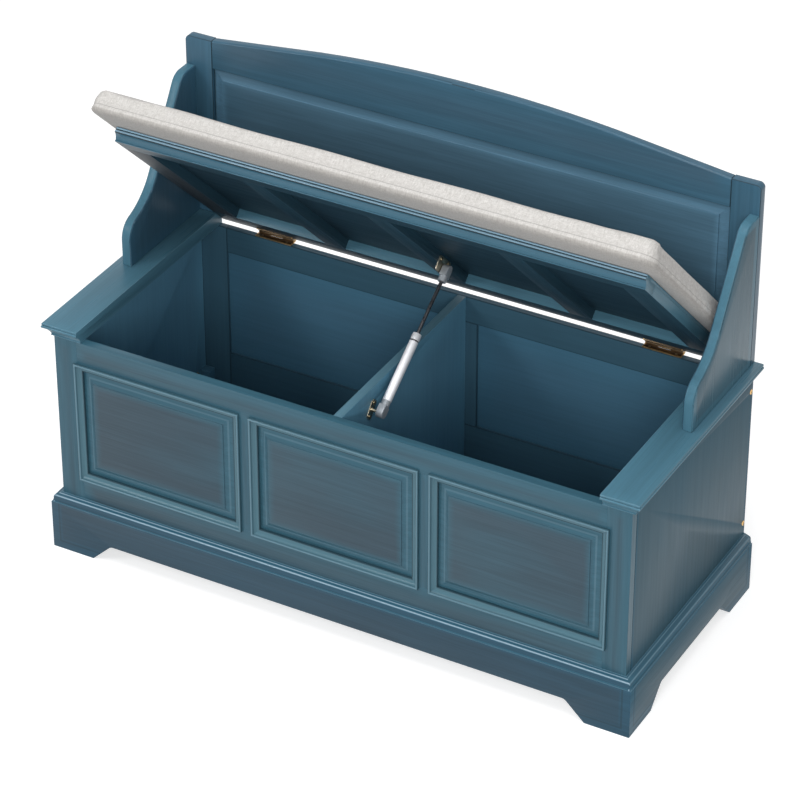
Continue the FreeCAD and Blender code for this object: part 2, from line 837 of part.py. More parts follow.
lower_stud = Vector(strut_x, front + lower_stud_y, rim_height - lower_stud_drop)
upper_stud_shut = Vector(strut_x, front + upper_stud_y, lid_bottom - upper_stud_drop)
upper_stud = Part.Vertex(upper_stud_shut)
upper_stud.rotate(hinge_pin, Vector(1, 0, 0), -lid_open)
upper_stud = upper_stud.Point
strut_length = (upper_stud - lower_stud).Length
strut_direction = (upper_stud - lower_stud).normalize()
batten_face = batten_centre_offset + batten_width / 2


def lower_plate_screws():
    tilt = math.radians(lower_plate_tilt)
    screws = []
    for side in (-1, 1):
        shift = Vector(0, math.cos(tilt), math.sin(tilt)) * (side * lower_plate_screw_spread)
        seat = Vector(divider_right_face + plate_thickness, lower_stud.y, lower_stud.z) + shift
        screws.append(dome_screw(seat, Vector(-1, 0, 0), bracket_screw_head_radius,
                                 bracket_screw_head_height, bracket_screw_radius,
                                 bracket_screw_length))
    return screws


def upper_plate_screws():
    screws = []
    for side in (-1, 1):
        seat = Vector(batten_face + plate_thickness,
                      front + upper_stud_y + side * upper_plate_screw_spread,
                      lid_bottom + upper_plate_screw_rise)
        screws.append(dome_screw(seat, Vector(-1, 0, 0), bracket_screw_head_radius,
                                 bracket_screw_head_height, bracket_screw_radius,
                                 bracket_screw_length))
    return screws


def ball_stud(centre, foot_x):
    head_start = centre.x - foot_x - stud_head_half
    head_end = head_start + 2 * stud_head_half
    outline = [(0, 0), (0, stud_foot_radius),
               (stud_foot_thickness, stud_foot_radius),
               (stud_foot_thickness, stud_neck_radius),
               (head_start, stud_neck_radius),
               (head_start, stud_head_radius),
               (head_end, stud_head_radius),
               (head_end, 0)]
    return turned_solid(outline, Vector(foot_x, centre.y, centre.z), Vector(1, 0, 0))


def end_fitting(centre, direction, bore_radius):
    # A rounded block round the ball runs on into a round neck.
    across = Vector(1, 0, 0)
    start = Vector(centre)
    start.x -= fitting_half_thickness
    thickness = 2 * fitting_half_thickness
    head = Part.makeCylinder(fitting_half_width, thickness, start, across)
    sideways = direction.cross(across) * fitting_half_width
    corners = [start - sideways, start + sideways,
               start + sideways + direction * fitting_block_length,
               start - sideways + direction * fitting_block_length]
    block = flat_face(corners).extrude(Vector(thickness, 0, 0))
    neck = Part.makeCylinder(fitting_neck_radius, fitting_length - fitting_block_length,
                             centre + direction * fitting_block_length, direction)
    body = head.fuse([block, neck])
    socket_depth = fitting_half_thickness + stud_head_half + stud_head_clearance
    body = body.cut(Part.makeCylinder(stud_head_radius + stud_head_clearance, socket_depth,
                                      start, across))
    if bore_radius > 0:
        body = body.cut(Part.makeCylinder(bore_radius, fitting_length, centre
                                          + direction * fitting_block_length, direction))
    return body


def strut():
    plate = board(divider_right_face, divider_right_face + plate_thickness,
                  lower_stud.y - lower_plate_length / 2, lower_stud.y + lower_plate_length / 2,
                  lower_stud.z - lower_plate_width / 2, lower_stud.z + lower_plate_width / 2)
    plate = rounded(plate, lower_plate_width / 3, lambda box: box.XLength > plate_thickness / 2)
    plate.rotate(lower_stud, Vector(1, 0, 0), lower_plate_tilt)
    mount = plate.fuse(ball_stud(lower_stud, divider_right_face + plate_thickness))
    divider = board(divider_left_face, divider_right_face, frame_back, back_front,
                    floor_top, rim_height)
    for screw in lower_plate_screws():
        mount = mount.cut(screw)
        divider = divider.cut(screw)
    save("strut_lower_mount", mount)
    save("divider", divider)
    save("box_hardware_screws", *(lower_plate_screws() + rim_screws()))

    save("strut_lower_fitting", end_fitting(lower_stud, strut_direction, 0))
    groove_end = tube_end - tube_collar_width
    groove_start = groove_end - tube_collar_groove
    tube_outline = [(fitting_length, 0), (fitting_length, tube_radius),
                    (groove_start, tube_radius), (groove_start, tube_radius - tube_collar_depth),
                    (groove_end, tube_radius - tube_collar_depth), (groove_end, tube_radius),
                    (tube_end, tube_radius), (tube_end, rod_radius + rod_clearance),
                    (bore_end, rod_radius + rod_clearance), (bore_end, 0)]
    save("strut_cylinder", turned_solid(tube_outline, lower_stud, strut_direction))

    rod_outer_end = strut_length - fitting_block_length
    rod_outline = [(rod_inner_end, 0), (rod_inner_end, rod_radius),
                   (rod_outer_end, rod_radius), (rod_outer_end, 0)]
    save("strut_rod", turned_solid(rod_outline, lower_stud, strut_direction))
    save("strut_upper_fitting", end_fitting(upper_stud, strut_direction * -1, rod_radius))
    stud_foot = batten_face + plate_thickness + stud_foot_gap
    save("strut_upper_stud", ball_stud(upper_stud, stud_foot))

    half = upper_plate_length / 2
    plate_low = lid_bottom - upper_plate_drop
    bracket = board(batten_face, batten_face + plate_thickness,
                    upper_stud_shut.y - half, upper_stud_shut.y + half,
                    plate_low, plate_low + upper_plate_height)
    bracket = rounded(bracket, upper_plate_corner, lambda box: box.XLength > plate_thickness / 2)
    for screw in upper_plate_screws():
        bracket = bracket.cut(screw)
    save("strut_upper_bracket", opened(bracket))
    lid_screws = upper_plate_screws() + lid_rail_screws()
    save("lid_hardware_screws", *[opened(screw) for screw in lid_screws])


plinth()
box_sides()
front_frame()
box_back()
caps()
wings()
backrest()
lid()
hinges()
cushion()
strut()
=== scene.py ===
import json
import math

import bmesh
import bpy
from mathutils import Matrix, Vector


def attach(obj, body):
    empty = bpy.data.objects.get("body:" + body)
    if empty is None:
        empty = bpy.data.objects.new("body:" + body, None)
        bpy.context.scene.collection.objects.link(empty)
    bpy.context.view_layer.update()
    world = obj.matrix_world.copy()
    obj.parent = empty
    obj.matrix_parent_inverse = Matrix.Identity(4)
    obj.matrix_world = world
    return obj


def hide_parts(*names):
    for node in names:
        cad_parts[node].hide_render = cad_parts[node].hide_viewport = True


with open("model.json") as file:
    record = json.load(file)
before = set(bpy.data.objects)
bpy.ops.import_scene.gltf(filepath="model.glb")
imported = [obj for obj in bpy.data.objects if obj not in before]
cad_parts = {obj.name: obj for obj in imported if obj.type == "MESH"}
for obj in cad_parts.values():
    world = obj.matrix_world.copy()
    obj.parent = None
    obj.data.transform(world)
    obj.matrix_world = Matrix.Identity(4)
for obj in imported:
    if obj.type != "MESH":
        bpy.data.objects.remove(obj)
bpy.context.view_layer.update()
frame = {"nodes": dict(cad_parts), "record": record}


# Plinth.
# Three painted boards with a moulded top edge and bracket feet, mitred at the
# front corners and glued to a square block inside each foot.

def new_group(name, inputs, outputs):
    group = bpy.data.node_groups.new(name, "ShaderNodeTree")
    for direction, sockets in (("INPUT", inputs), ("OUTPUT", outputs)):
        for socket, kind in sockets:
            group.interface.new_socket(socket, in_out=direction, socket_type=kind)
    start = group.nodes.new("NodeGroupInput")
    end = group.nodes.new("NodeGroupOutput")
    return group, start, end


def set_or_link(links, socket, value):
    if isinstance(value, (int, float, tuple)):
        socket.default_value = value
    else:
        links.new(value, socket)


def add_noise(nodes, links, vector, stretch, detail, roughness):
    # Noise drawn out by a stretch, in cycles for each metre along each axis.
    scaled = nodes.new("ShaderNodeVectorMath")
    scaled.operation = "MULTIPLY"
    scaled.inputs[1].default_value = stretch
    links.new(vector, scaled.inputs[0])
    noise = nodes.new("ShaderNodeTexNoise")
    noise.inputs["Scale"].default_value = 1.0
    noise.inputs["Detail"].default_value = detail
    noise.inputs["Roughness"].default_value = roughness
    links.new(scaled.outputs[0], noise.inputs["Vector"])
    return noise.outputs["Fac"]


def add_math(nodes, links, operation, first, second, clamp=False):
    node = nodes.new("ShaderNodeMath")
    node.operation = operation
    node.use_clamp = clamp
    set_or_link(links, node.inputs[0], first)
    set_or_link(links, node.inputs[1], second)
    return node.outputs[0]


def add_range(nodes, links, value, low, high, new_low=0.0, new_high=1.0, smooth=False):
    node = nodes.new("ShaderNodeMapRange")
    node.interpolation_type = "SMOOTHSTEP" if smooth else "LINEAR"
    node.inputs["From Min"].default_value = low
    node.inputs["From Max"].default_value = high
    node.inputs["To Min"].default_value = new_low
    node.inputs["To Max"].default_value = new_high
    links.new(value, node.inputs["Value"])
    return node.outputs["Result"]


def add_mix(nodes, links, factor, first, second, blend="MIX"):
    node = nodes.new("ShaderNodeMix")
    node.data_type = "RGBA"
    node.blend_type = blend
    set_or_link(links, node.inputs["Factor"], factor)
    set_or_link(links, node.inputs["A"], first)
    set_or_link(links, node.inputs["B"], second)
    return node.outputs["Result"]


# Marks in cycles for each metre, along and across the brush's stroke.
bristle_marks = (9.0, 420.0, 420.0)
stroke_marks = (5.0, 130.0, 130.0)
cloud_marks = (3.2, 8.0, 8.0)


def make_brush_marks():
    # Fine streaks and broad clouds left by a brush drawn along the X axis.
    group, start, end = new_group(
        "brush_marks",
        [("Along", "NodeSocketVector")],
        [("Streaks", "NodeSocketFloat"), ("Clouds", "NodeSocketFloat"),
         ("Height", "NodeSocketFloat")])
    nodes, links = group.nodes, group.links
    along = start.outputs["Along"]
    fine = add_noise(nodes, links, along, bristle_marks, detail=2.0, roughness=0.6)
    broad = add_noise(nodes, links, along, stroke_marks, detail=2.0, roughness=0.5)
    cloud = add_noise(nodes, links, along, cloud_marks, detail=3.0, roughness=0.55)
    fine = add_range(nodes, links, fine, 0.3, 0.7)
    broad = add_range(nodes, links, broad, 0.3, 0.7)
    mixed = add_math(nodes, links, "ADD", add_math(nodes, links, "MULTIPLY", fine, 0.5),
                     add_math(nodes, links, "MULTIPLY", broad, 0.5))
    links.new(mixed, end.inputs["Streaks"])
    links.new(add_range(nodes, links, cloud, 0.3, 0.7), end.inputs["Clouds"])
    links.new(fine, end.inputs["Height"])
    return group


def make_board_edges():
    # Distance in metres from the nearest edge of the board's own face.
    group, start, end = new_group(
        "board_edges",
        [("From Low", "NodeSocketVector"), ("From High", "NodeSocketVector")],
        [("Distance", "NodeSocketFloat")])
    nodes, links = group.nodes, group.links
    nearest = []
    for name in ("From Low", "From High"):
        parts = nodes.new("ShaderNodeSeparateXYZ")
        links.new(start.outputs[name], parts.inputs[0])
        nearest.append(add_math(nodes, links, "MINIMUM", parts.outputs[0], parts.outputs[1]))
    links.new(add_math(nodes, links, "MINIMUM", *nearest), end.inputs["Distance"])
    return group


brush_marks = make_brush_marks()
board_edges = make_board_edges()


def new_material(name):
    material = bpy.data.materials.new(name)
    material.use_nodes = True
    tree = material.node_tree
    return material, tree.nodes, tree.links, tree.nodes["Principled BSDF"]


def edge_distance(nodes, links):
    # Reads the board's two edge maps, which mark_edges lays on its mesh.
    edges = nodes.new("ShaderNodeGroup")
    edges.node_tree = board_edges
    for socket, layer in (("From Low", "from_low"), ("From High", "from_high")):
        reading = nodes.new("ShaderNodeUVMap")
        reading.uv_map = layer
        links.new(reading.outputs["UV"], edges.inputs[socket])
    return edges.outputs["Distance"]


blue_coat = (0.032, 0.110, 0.167, 1.0)
grey_glaze = (0.039, 0.079, 0.113, 1.0)
# Paint rubbed pale at edges and ridges, lightened further as a painted highlight.
pale_rub_and_highlight = (0.150, 0.260, 0.330, 1.0)
# Dark paint settled in the joints, also used as painted shade in grooves, creases and the
# roots of mouldings.
dark_seam_and_shade = (0.012, 0.030, 0.042, 1.0)
along_x = (0.0, 0.0, 0.0)
along_y = (0.0, 0.0, math.radians(-90))
along_z = (0.0, math.radians(90), 0.0)
band_softness = 0.0005
arris_core = 0.4
thin_cloud = 0.6
thick_cloud = 1.15
streak_dark = 0.11
streak_light = 0.10
sheen_change = 0.05
ridge_height = 0.0003
ridge_strength = 0.10


def paint(name, grain, glaze=0.85, bare=0.004, full=0.045, coat=blue_coat, wash=grey_glaze,
          arris=None, rough=0.33, bands=(), contrast=1.0, shine=0.25):
    # Satin coat under a grey glaze that is wiped away towards each board's edges: it is
    # bare up to one distance and full from another. The arris and the bands give a
    # colour, a strength and distances from the edge, all in metres.
    material, nodes, links, shader = new_material(name)
    place = nodes.new("ShaderNodeTexCoord")
    turn = nodes.new("ShaderNodeMapping")
    turn.inputs["Rotation"].default_value = grain
    links.new(place.outputs["Object"], turn.inputs["Vector"])
    marks = nodes.new("ShaderNodeGroup")
    marks.node_tree = brush_marks
    links.new(turn.outputs["Vector"], marks.inputs["Along"])
    distance = edge_distance(nodes, links)
    wiped = add_range(nodes, links, distance, bare, full, 0.0, glaze, smooth=True)
    uneven = add_range(nodes, links, marks.outputs["Clouds"], 0.0, 1.0, thin_cloud,
                       thick_cloud)
    factor = add_math(nodes, links, "MULTIPLY", wiped, uneven, clamp=True)
    colour = add_mix(nodes, links, factor, coat, wash)
    streak = add_range(nodes, links, marks.outputs["Streaks"], 0.2, 0.8,
                       1.0 - streak_dark * contrast, 1.0 + streak_light * contrast)
    shade = nodes.new("ShaderNodeCombineColor")
    for channel in shade.inputs:
        links.new(streak, channel)
    colour = add_mix(nodes, links, 1.0, colour, shade.outputs["Color"], "MULTIPLY")
    # The bands and the arris tint strips near the edge: dark joints, wear, painted highlights
    # and painted shade, as each use says.
    for tone, strength, start, end in bands:
        inside = add_range(nodes, links, distance, start - band_softness,
                           start + band_softness, smooth=True)
        outside = add_range(nodes, links, distance, end - band_softness,
                            end + band_softness, 1.0, 0.0, smooth=True)
        band = add_math(nodes, links, "MULTIPLY", inside, outside)
        band = add_math(nodes, links, "MULTIPLY", band, strength)
        colour = add_mix(nodes, links, band, colour, tone)
    if arris:
        tone, strength, reach = arris
        near_edge = add_range(nodes, links, distance, reach * arris_core, reach, strength, 0.0,
                         smooth=True)
        colour = add_mix(nodes, links, near_edge, colour, tone)
    links.new(colour, shader.inputs["Base Color"])
    shader.inputs["Specular IOR Level"].default_value = shine
    links.new(add_range(nodes, links, marks.outputs["Streaks"], 0.0, 1.0,
                        rough + sheen_change, rough - sheen_change),
              shader.inputs["Roughness"])
    bump = nodes.new("ShaderNodeBump")
    bump.inputs["Strength"].default_value = ridge_strength * contrast
    bump.inputs["Distance"].default_value = ridge_height
    links.new(marks.outputs["Height"], bump.inputs["Height"])
    links.new(bump.outputs["Normal"], shader.inputs["Normal"])
    return material


def placed(name, data):
    made = bpy.data.objects.new(name, data)
    bpy.context.scene.collection.objects.link(made)
    return made


def add_piece(name, mesh, body, *replaced):
    piece = placed(name, mesh)
    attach(piece, body)
    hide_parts(*replaced)
    return piece


weld = 0.00001


def joined_up(node):
    # The node's loose triangles, joined where they meet.
    solid = bmesh.new()
    solid.from_mesh(frame["nodes"][node].data)
    bmesh.ops.remove_doubles(solid, verts=solid.verts, dist=weld)
    return solid


def as_mesh(built, name):
    mesh = bpy.data.meshes.new(name)
    built.to_mesh(mesh)
    built.free()
    return mesh


def islands(mesh):
    # The mesh's separate solids, each as a list of vertex numbers.
    home = list(range(len(mesh.vertices)))

    def root(number):
        while home[number] != number:
            home[number] = home[home[number]]
            number = home[number]
        return number

    for edge in mesh.edges:
        first, second = (root(number) for number in edge.vertices)
        home[first] = second
    found = {}
    for number in range(len(home)):
        found.setdefault(root(number), []).append(number)
    return list(found.values())


def mark_edges(mesh, level, front_only):
    # Two maps hold how far each corner lies from the low and high ends of its solid.
    # The level turns the solid square first. Framed pieces are measured from the front.
    from_low = mesh.uv_layers.new(name="from_low")
    from_high = mesh.uv_layers.new(name="from_high")
    turn = level.to_3x3()
    places = [turn @ vertex.co for vertex in mesh.vertices]
    boxes = {}
    for solid in islands(mesh):
        low = [min(places[number][axis] for number in solid) for axis in range(3)]
        high = [max(places[number][axis] for number in solid) for axis in range(3)]
        for number in solid:
            boxes[number] = (low, high)
    for face in mesh.polygons:
        normal = turn @ face.normal
        facing = 1 if front_only else max(range(3), key=lambda axis: abs(normal[axis]))
        first, second = (axis for axis in range(3) if axis != facing)
        for corner in face.loop_indices:
            number = mesh.loops[corner].vertex_index
            low, high = boxes[number]
            place = places[number]
            from_low.data[corner].uv = (place[first] - low[first],
                                        place[second] - low[second])
            from_high.data[corner].uv = (high[first] - place[first],
                                         high[second] - place[second])


flat_within = math.radians(0.5)
sharp_from = math.radians(28)


def eased_board(node, body, material, ease, level=Matrix(), other=None, chosen=None,
                front_only=False):
    # The board with its edges sanded round, as a merged copy of the frame's node.
    # Faces whose normals are chosen take the other material.
    board = joined_up(node)
    bmesh.ops.dissolve_limit(board, angle_limit=flat_within, use_dissolve_boundaries=False,
                             verts=board.verts, edges=board.edges, delimit=set())
    mesh = as_mesh(board, node + "_eased")
    mesh.shade_smooth()
    mark_edges(mesh, level, front_only)
    mesh.materials.append(material)
    if other:
        mesh.materials.append(other)
        for face in mesh.polygons:
            face.material_index = 1 if chosen(face.normal) else 0
    piece = add_piece(node + "_eased", mesh, body, node)
    rounding = piece.modifiers.new("eased_edges", "BEVEL")
    rounding.width = ease
    rounding.segments = 3
    rounding.limit_method = "ANGLE"
    rounding.angle_limit = sharp_from
    rounding.harden_normals = True
    rounding.miter_outer = "MITER_ARC"
    return piece


plinth_coat = (0.020, 0.069, 0.110, 1.0)
plinth_wash = (0.023, 0.055, 0.083, 1.0)
# Painted shade darkens the cove at the foot of the plinth's moulded top.
plinth_groove_shade = ((dark_seam_and_shade, 0.45, 0.0130, 0.0162),)
plinth_paint_x = paint("plinth_paint_x", along_x, glaze=0.9, bare=0.016, full=0.022,
                       coat=plinth_coat, wash=plinth_wash, bands=plinth_groove_shade)
side_wash = (0.055, 0.113, 0.149, 1.0)
side_shine = 0.05
plinth_paint_y = paint("plinth_paint_y", along_y, glaze=0.9, bare=0.016, full=0.022,
                       wash=side_wash, bands=plinth_groove_shade, shine=side_shine)
edge_coat = (0.027, 0.094, 0.141, 1.0)
nose_highlight = (0.330, 0.460, 0.560, 1.0)
# The plinth's top has a painted highlight along its nose, and its arris is rubbed pale and
# lightened as a painted highlight.
plinth_top_x = paint("plinth_top_x", along_x, glaze=0.0, coat=edge_coat, rough=0.28,
                     arris=(pale_rub_and_highlight, 0.5, 0.0020), contrast=0.5,
                     bands=((nose_highlight, 0.70, 0.0036, 0.0052),))
plinth_top_y = paint("plinth_top_y", along_y, glaze=0.0, coat=edge_coat, rough=0.28,
                     arris=(pale_rub_and_highlight, 0.5, 0.0020), contrast=0.5,
                     bands=((pale_rub_and_highlight, 0.6, 0.0036, 0.0052),))


def faces_up(normal):
    # A moulded edge counts as facing up from its cove onwards.
    return normal.z > 0.3


for node, finish, top in (("plinth_front", plinth_paint_x, plinth_top_x),
                          ("plinth_left", plinth_paint_y, plinth_top_y),
                          ("plinth_right", plinth_paint_y, plinth_top_y)):
    plinth = eased_board(node, "box", finish, ease=0.0003, other=top, chosen=faces_up)
# Inside faces are painted a lighter blue than the outside, standing in for the light the
# interior lacks.
inner_lightened_coat = (0.060, 0.158, 0.236, 1.0)
inner_lightened_wash = (0.062, 0.126, 0.188, 1.0)
inner_paint = paint("inner_paint", along_x, glaze=0.35, bare=0.004, full=0.060,
                    coat=inner_lightened_coat, wash=inner_lightened_wash, rough=0.42, contrast=0.4)
eased_board("foot_blocks", "box", inner_paint, ease=0.0010)


# Box.
# Plain side boards, a floor, a divider and a framed back hold the box together.
# Inside they are painted a lighter blue, standing in for the light the interior lacks, with
# dark paint settled in the joints.

side_paint = paint("side_paint", along_z, glaze=1.0, bare=0.001, full=0.010, wash=side_wash,
                   arris=(dark_seam_and_shade, 0.75, 0.0022), contrast=0.5, shine=side_shine)
# The inner faces of the sides, stiles and divider are painted lighter still, as painted light.
inner_side_lightened_coat = (0.102, 0.258, 0.370, 1.0)
inner_side_lightened_paint = paint("inner_side_lightened_paint", along_z, glaze=0.35, bare=0.004, full=0.060,
                         coat=inner_side_lightened_coat, wash=inner_lightened_wash, rough=0.42, contrast=0.4)
squarely = 0.7


def faces_right(normal):
    return normal.x > squarely


def faces_left(normal):
    return normal.x < -squarely


def faces_top(normal):
    return normal.z > squarely


for node, inside in (("side_panel_left", faces_right), ("side_panel_right", faces_left)):
    side = eased_board(node, "box", side_paint, ease=0.0008, other=inner_side_lightened_paint,
                       chosen=inside)
joint_coat = (0.042, 0.104, 0.150, 1.0)
joint_paint_x = paint("joint_paint_x", along_x, glaze=0.0, coat=joint_coat, rough=0.42,
                      arris=(dark_seam_and_shade, 0.7, 0.0016), contrast=0.5)
joint_paint_z = paint("joint_paint_z", along_z, glaze=0.0, coat=joint_coat, rough=0.42,
                      arris=(dark_seam_and_shade, 0.7, 0.0016), contrast=0.5)
for node in ("back_panel_left", "back_panel_right"):
    eased_board(node, "box", inner_paint, ease=0.0008)
# The inside of the floor is painted lighter too, as painted light.
inner_floor_lightened_coat = (0.115, 0.258, 0.370, 1.0)
inner_floor_lightened_paint = paint("inner_floor_lightened_paint", along_x, glaze=0.0, coat=inner_floor_lightened_coat,
                          rough=0.42, contrast=0.5)
eased_board("floor_panel", "box", inner_floor_lightened_paint, ease=0.0008)
for node in ("back_top_rail", "back_bottom_rail"):
    eased_board(node, "box", joint_paint_x, ease=0.0008)
for node in ("back_muntin", "back_stile_left", "back_stile_right"):
    eased_board(node, "box", joint_paint_z, ease=0.0008)
divider_top_coat = (0.090, 0.190, 0.250, 1.0)
divider_top_paint = paint("divider_top_paint", along_y, glaze=0.0, coat=divider_top_coat)
divider = eased_board("divider", "box", inner_side_lightened_paint, ease=0.0008,
                      other=divider_top_paint, chosen=faces_top)
eased_board("corner_blocks", "box", inner_paint, ease=0.0015)


# Front frame.
# Two stiles, two rails and two muntins hold three raised panels, and a mitred
# moulding runs round each opening. The glaze stays grey on the raised fields.

frame_coat = (0.038, 0.108, 0.151, 1.0)
frame_wash = (0.041, 0.073, 0.096, 1.0)
frame_paint_x = paint("frame_paint_x", along_x, glaze=0.75, bare=0.003, full=0.030,
                      coat=frame_coat, wash=frame_wash)
frame_paint_z = paint("frame_paint_z", along_z, glaze=0.75, bare=0.003, full=0.030,
                      coat=frame_coat, wash=frame_wash)


def faces_back(normal):
    return normal.y > squarely


for node in ("front_stile_left", "front_stile_right", "front_muntin_left",
             "front_muntin_right"):
    stile = eased_board(node, "box", frame_paint_z, ease=0.0003, other=inner_side_lightened_paint,
                        chosen=faces_back)
for node in ("front_top_rail", "front_bottom_rail"):
    rail = eased_board(node, "box", frame_paint_x, ease=0.0003, other=inner_paint,
                       chosen=faces_back)
panel_teal = (0.037, 0.111, 0.155, 1.0)
panel_wash = (0.038, 0.068, 0.092, 1.0)
# Painted shade darkens the margin next to the moulding, and a painted highlight runs along the
# field's edge.
panel_paint = paint("panel_paint", along_x, glaze=1.0, bare=0.019, full=0.042,
                    coat=panel_teal, wash=panel_wash, arris=(dark_seam_and_shade, 0.4, 0.0075),
                    bands=((pale_rub_and_highlight, 0.28, 0.0178, 0.0206),))
for node in ("front_panel_left", "front_panel_centre", "front_panel_right"):
    panel = eased_board(node, "box", panel_paint, ease=0.0006, other=inner_paint,
                        chosen=faces_back, front_only=True)
moulding_teal = (0.066, 0.153, 0.197, 1.0)
# Each bar has a pale ridge, rubbed and lightened as a painted highlight, then a painted dark
# line, and painted shade at its inner and outer roots.
moulding_highlight_and_shade_bands = ((pale_rub_and_highlight, 0.50, 0.0010, 0.0036), (dark_seam_and_shade, 0.30, 0.0038, 0.0048),
                  (dark_seam_and_shade, 0.75, 0.0122, 0.0140))
moulding_x, moulding_z = (
    paint(name, grain, glaze=0.0, coat=moulding_teal, bands=moulding_highlight_and_shade_bands,
          arris=(dark_seam_and_shade, 0.5, 0.0007), rough=0.26, contrast=0.2)
    for name, grain in (("moulding_x", along_x), ("moulding_z", along_z)))


def on_upright(normal):
    # A mitred bar stands upright where its beads turn to the left or right.
    return abs(normal.x) > abs(normal.z) + 0.01


for node in ("front_moulding_left", "front_moulding_centre", "front_moulding_right"):
    moulding = eased_board(node, "box", moulding_x, ease=0.0002, other=moulding_z,
                           chosen=on_upright, front_only=True)


# Caps, backrest and wings.
# Moulded caps close the sides; the wings stand on them against a framed
# backrest with an arched top rail and one wide raised panel.

cap_coat = (0.067, 0.168, 0.230, 1.0)
# The caps' arrises are rubbed pale and lightened as a painted highlight.
cap_paint = paint("cap_paint", along_y, glaze=0.15, bare=0.004, full=0.030, coat=cap_coat,
                  rough=0.30, arris=(pale_rub_and_highlight, 0.35, 0.0012), contrast=0.7)
for node in ("cap_left", "cap_right"):
    eased_board(node, "box", cap_paint, ease=0.0005)
rest_coat = (0.039, 0.105, 0.160, 1.0)
rest_wash = (0.042, 0.089, 0.131, 1.0)
rest_paint_x = paint("rest_paint_x", along_x, glaze=0.8, bare=0.004, full=0.050,
                     coat=rest_coat, wash=rest_wash, arris=(dark_seam_and_shade, 0.8, 0.0016))
rest_paint_z = paint("rest_paint_z", along_z, glaze=0.5, bare=0.004, full=0.050,
                     coat=rest_coat, wash=rest_wash, arris=(dark_seam_and_shade, 0.8, 0.0016))
rest_panel_coat = (0.070, 0.156, 0.228, 1.0)
rest_panel_wash = (0.047, 0.104, 0.152, 1.0)
rest_panel_paint = paint("rest_panel_paint", along_x, glaze=1.0, bare=0.016, full=0.030,
                         coat=rest_panel_coat, wash=rest_panel_wash,
                         arris=(dark_seam_and_shade, 0.7, 0.0030))
for node in ("backrest_stile_left", "backrest_stile_right"):
    eased_board(node, "box", rest_paint_z, ease=0.0012)
for node in ("backrest_top_rail", "backrest_bottom_rail"):
    eased_board(node, "box", rest_paint_x, ease=0.0010)
rest_panel = eased_board("backrest_panel", "box", rest_panel_paint, ease=0.0006,
                         front_only=True)
wing_paint = paint("wing_paint", along_z, glaze=0.9, bare=0.009, full=0.016, coat=cap_coat,
                   wash=side_wash, rough=0.25, contrast=0.6, shine=0.08)
wing_inner_paint = paint("wing_inner_paint", along_z, glaze=0.6, bare=0.004, full=0.030,
                         coat=rest_coat, wash=rest_wash, contrast=0.6)
for node, inside in (("wing_left", faces_right), ("wing_right", faces_left)):
    wing = eased_board(node, "box", wing_paint, ease=0.0022, other=wing_inner_paint,
                       chosen=inside)


# Lid.
# A thin panel on rails and three battens, with the caps' moulding run along its front edge. It
# stands open 44 degrees, and its underside and battens are painted dark as painted shade.

lid_open = math.radians(44)
lid_level = Matrix.Rotation(lid_open, 4, "X")
lid_up = Vector((0.0, math.sin(lid_open), math.cos(lid_open)))
along_lid = (lid_open, 0.0, math.radians(-90))
lid_front_coat = (0.049, 0.136, 0.196, 1.0)
lid_bead_rub_and_highlight_coat = (0.245, 0.395, 0.505, 1.0)
lid_paint_x = paint("lid_paint_x", along_x, glaze=0.15, bare=0.004, full=0.030,
                    coat=cap_coat, rough=0.30)
lid_front_paint = paint("lid_front_paint", along_x, glaze=0.0, coat=lid_front_coat,
                        rough=0.28, contrast=0.4)
lid_bead_rub_and_highlight_paint = paint("lid_bead_rub_and_highlight_paint", along_x, glaze=0.0, coat=lid_bead_rub_and_highlight_coat, rough=0.24,
                       contrast=0.3)
lid_crease_shade_paint = paint("lid_crease_shade_paint", along_x, glaze=0.0, coat=dark_seam_and_shade, rough=0.45)
lid_end_paint = paint("lid_end_paint", along_lid, glaze=0.0, coat=cap_coat, contrast=0.6)
# The underside and battens are painted dark as painted shade.
under_shade_coat = (0.019, 0.052, 0.076, 1.0)
under_shade_wash = (0.016, 0.038, 0.056, 1.0)
lid_under_shade_paint = paint("lid_under_shade_paint", along_x, glaze=0.8, bare=0.002, full=0.040,
                        coat=under_shade_coat, wash=under_shade_wash, rough=0.45)
lid_batten_shade_paint = paint("lid_batten_shade_paint", along_lid, glaze=0.8, bare=0.002, full=0.040,
                         coat=under_shade_coat, wash=under_shade_wash, rough=0.45)
# The left side rail's underside is painted a dark grey.
lid_dark_grey_coat = (0.026, 0.038, 0.048, 1.0)
lid_dark_grey_wash = (0.034, 0.037, 0.041, 1.0)
lid_dark_grey_paint = paint("lid_dark_grey_paint", along_lid, glaze=0.8, bare=0.001, full=0.010,
                      coat=lid_dark_grey_coat, wash=lid_dark_grey_wash, rough=0.5)


def faces_under(normal):
    return normal.dot(lid_up) < -0.5


# The beads along the front rail are rubbed pale and lightened as a painted highlight, and the
# creases under them are darkened as painted shade.
lid_forward = Vector((0.0, -math.cos(lid_open), math.sin(lid_open)))
upper_beads = 0.0100
least_forward = 0.05
crease_turn = -0.4
lid_front = eased_board("lid_front_rail", "lid", lid_front_paint, ease=0.0002,
                        level=lid_level, other=lid_under_shade_paint, chosen=faces_under)
lid_coats = lid_front.data.materials
for coat in (lid_bead_rub_and_highlight_paint, lid_crease_shade_paint, lid_end_paint):
    lid_coats.append(coat)
rail_top = max(vertex.co.dot(lid_up) for vertex in lid_front.data.vertices)
for face in lid_front.data.polygons:
    finish = None
    if face.normal.dot(lid_forward) > least_forward:
        if rail_top - face.center.dot(lid_up) >= upper_beads:
            finish = lid_front_paint
        elif face.normal.dot(lid_up) < crease_turn:
            finish = lid_crease_shade_paint
        else:
            finish = lid_bead_rub_and_highlight_paint
    elif abs(face.normal.x) > squarely:
        finish = lid_end_paint
    if finish:
        face.material_index = lid_coats.find(finish.name)
